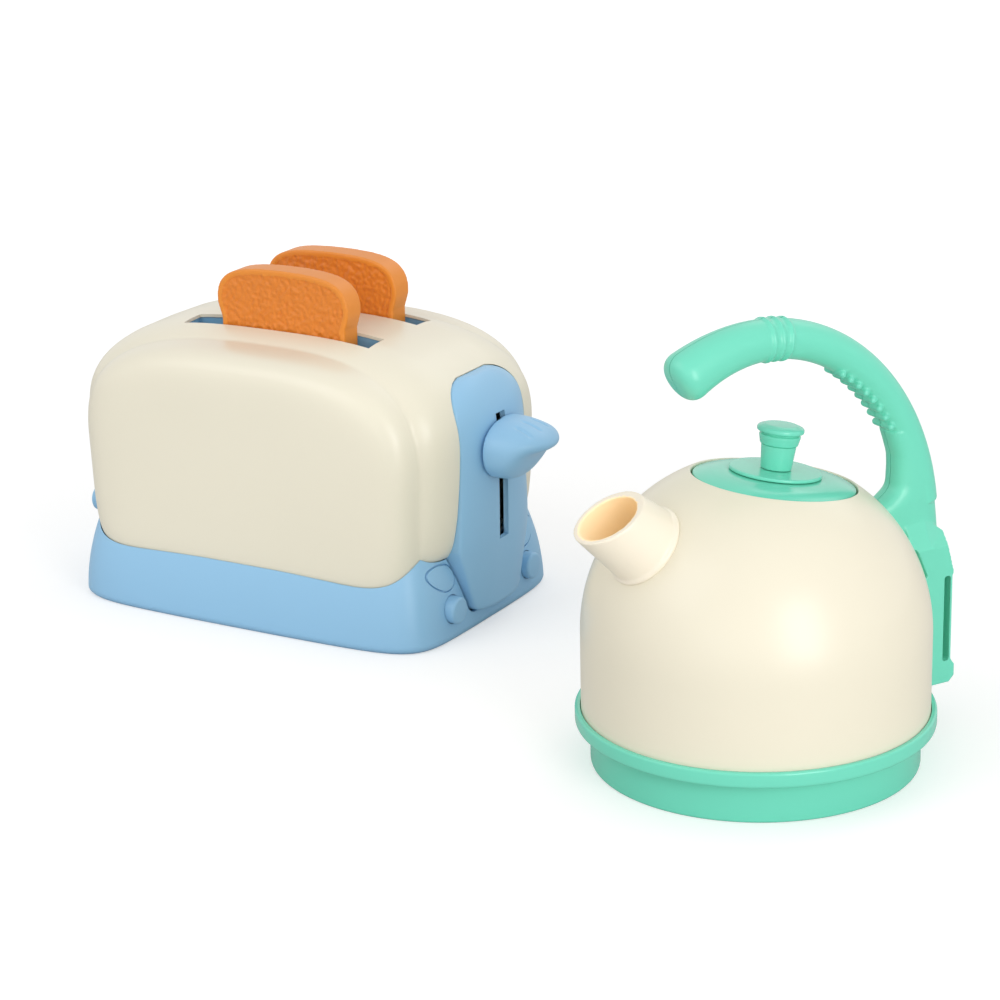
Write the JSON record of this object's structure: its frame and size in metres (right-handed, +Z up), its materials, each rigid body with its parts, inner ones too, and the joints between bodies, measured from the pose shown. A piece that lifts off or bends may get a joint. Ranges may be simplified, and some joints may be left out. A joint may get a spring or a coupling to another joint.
{
  "type": "toy breakfast set",
  "caption": "Play toaster with bread slices, a slide-down lever and push knobs, beside a play kettle with a hooped handle, open spout and lift-off lid.",
  "frame": {"origin": "on the table, below the middle of the box around both toys", "axes": "+Z up, +X along the toaster towards its lever end, the toaster's front towards -Y"},
  "size_m": [0.4512, 0.229, 0.1819],
  "materials": {
    "toaster_cream": "semi-gloss moulded cream plastic",
    "kettle_cream": "semi-gloss moulded cream plastic",
    "spout_cream": "semi-gloss moulded pinkish cream plastic",
    "blue_plastic": "semi-gloss moulded sky blue plastic",
    "green_plastic": "semi-gloss moulded mint green plastic",
    "toast_orange": "matte orange plastic with pebbled faces",
    "steel": "plain steel"
  },
  "bodies": {
    "toaster": {"toaster_base": "blue_plastic", "toaster_bottom_cover": "blue_plastic", "cover_screw_left_near": "steel", "cover_screw_left_far": "steel", "cover_screw_right_near": "steel", "cover_screw_right_far": "steel", "toaster_shell": "toaster_cream", "bread_well_front": "blue_plastic", "bread_well_back": "blue_plastic", "end_panel_lever": "blue_plastic", "end_panel_plain": "blue_plastic", "guide_rod_front": "steel", "guide_rod_back": "steel", "carriage_spring_front": "steel", "carriage_spring_back": "steel", "knob_spring_front": "steel", "knob_spring_back": "steel"},
    "lever": {"lever_carriage": "blue_plastic", "lever_paddle": "blue_plastic"},
    "slice_front": {"toast_slice_front": "toast_orange"},
    "slice_back": {"toast_slice_back": "toast_orange"},
    "knob_front": {"push_knob_front": "blue_plastic"},
    "knob_back": {"push_knob_back": "blue_plastic"},
    "kettle": {"kettle_stand": "green_plastic", "kettle_body": "kettle_cream", "stand_screw_1": "steel", "stand_screw_2": "steel", "stand_screw_3": "steel", "kettle_spout": "spout_cream", "handle_half_near": "green_plastic", "handle_half_far": "green_plastic", "handle_screw_1": "steel", "handle_screw_2": "steel", "handle_screw_3": "steel", "handle_screw_4": "steel"},
    "lid": {"kettle_lid": "green_plastic", "lid_plate": "green_plastic", "lid_knob": "green_plastic", "lid_screw": "steel"}
  },
  "joints": [
    {"name": "lever_slide", "type": "slide", "parent": "toaster", "child": "lever", "axis": [0, 0, -1], "range_m": [0, 0.027], "stiffness_N_per_m": 80, "springref_m": -0.04, "deforming": ["carriage_spring_front", "carriage_spring_back"]},
    {"name": "slice_front_lift", "type": "slide", "parent": "lever", "child": "slice_front", "axis": [0, 0, 1], "range_m": [0, 0.09]},
    {"name": "slice_back_lift", "type": "slide", "parent": "lever", "child": "slice_back", "axis": [0, 0, 1], "range_m": [0, 0.09]},
    {"name": "knob_front_press", "type": "slide", "parent": "toaster", "child": "knob_front", "axis": [-1, 0, 0], "range_m": [0, 0.004], "stiffness_N_per_m": 200, "springref_m": -0.002, "deforming": ["knob_spring_front"]},
    {"name": "knob_back_press", "type": "slide", "parent": "toaster", "child": "knob_back", "axis": [-1, 0, 0], "range_m": [0, 0.004], "stiffness_N_per_m": 200, "springref_m": -0.002, "deforming": ["knob_spring_back"]},
    {"name": "kettle_lift", "type": "slide", "parent": "toaster", "child": "kettle", "axis": [0, 0, 1], "range_m": [0, 0.15]},
    {"name": "lid_lift", "type": "slide", "parent": "kettle", "child": "lid", "axis": [0.0696, 0.1205, 0.9903], "range_m": [0, 0.022]}
  ]
}
